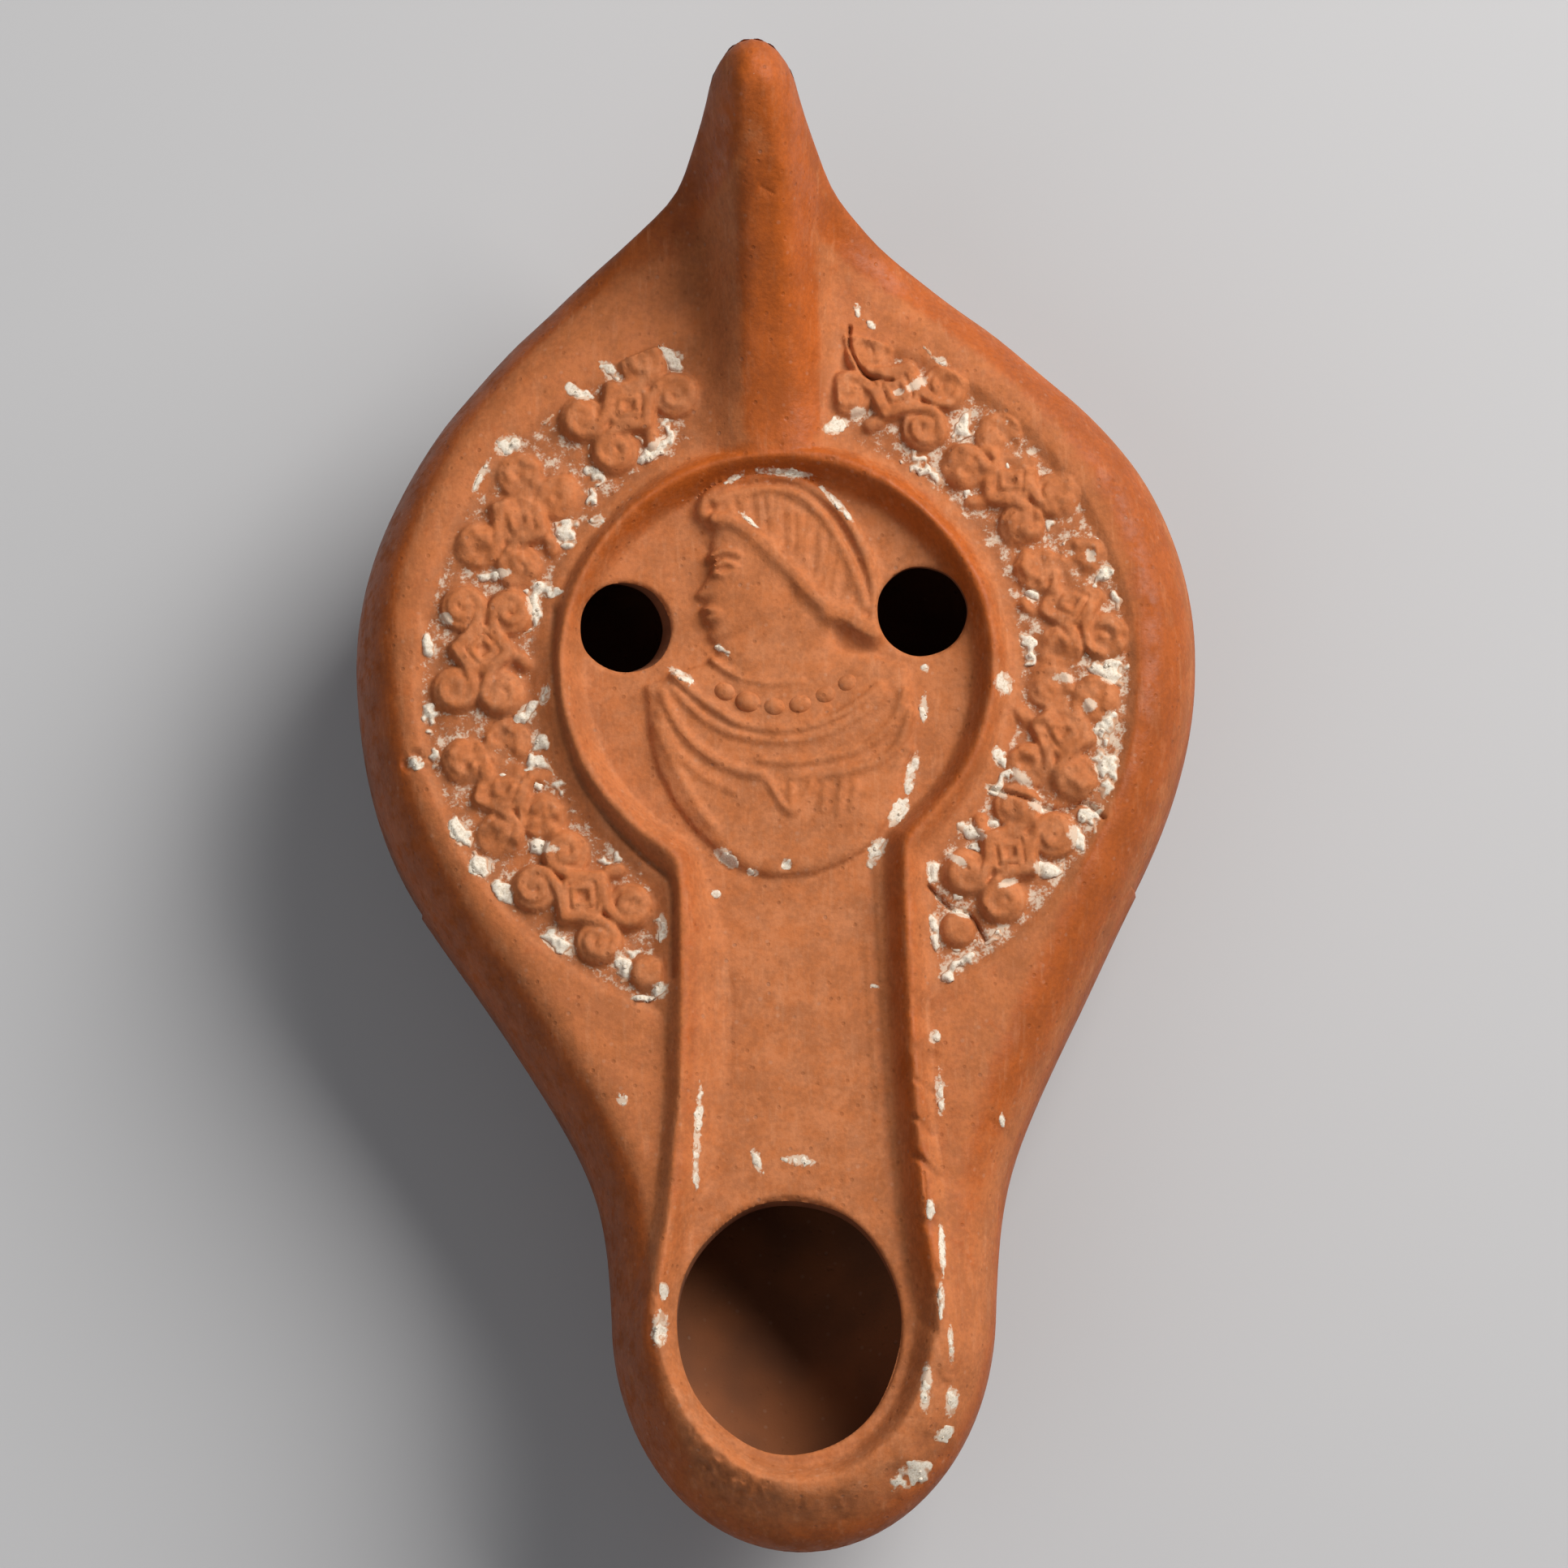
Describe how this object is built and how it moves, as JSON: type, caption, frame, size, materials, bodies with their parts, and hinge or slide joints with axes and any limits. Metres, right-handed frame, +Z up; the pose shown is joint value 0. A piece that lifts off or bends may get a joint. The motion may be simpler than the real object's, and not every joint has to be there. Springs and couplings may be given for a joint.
{
  "type": "terracotta oil lamp",
  "caption": "Hollow fired-clay oil lamp with a solid handle, stamped shoulder band, veiled bust in relief, filling holes and a round wick nozzle.",
  "frame": {"origin": "on the surface the lamp stands on, under the middle of its length and width", "axes": "+Z up through the discus, +Y along the lamp from the nozzle to the handle, +X to the right seen from the nozzle end"},
  "size_m": [0.081, 0.1408, 0.05],
  "materials": {
    "terracotta": "matt fired clay with a worn orange burnish on the ridges and cream lime deposits in the recesses"
  },
  "bodies": {
    "root": {"lamp": "terracotta"}
  },
  "joints": []
}
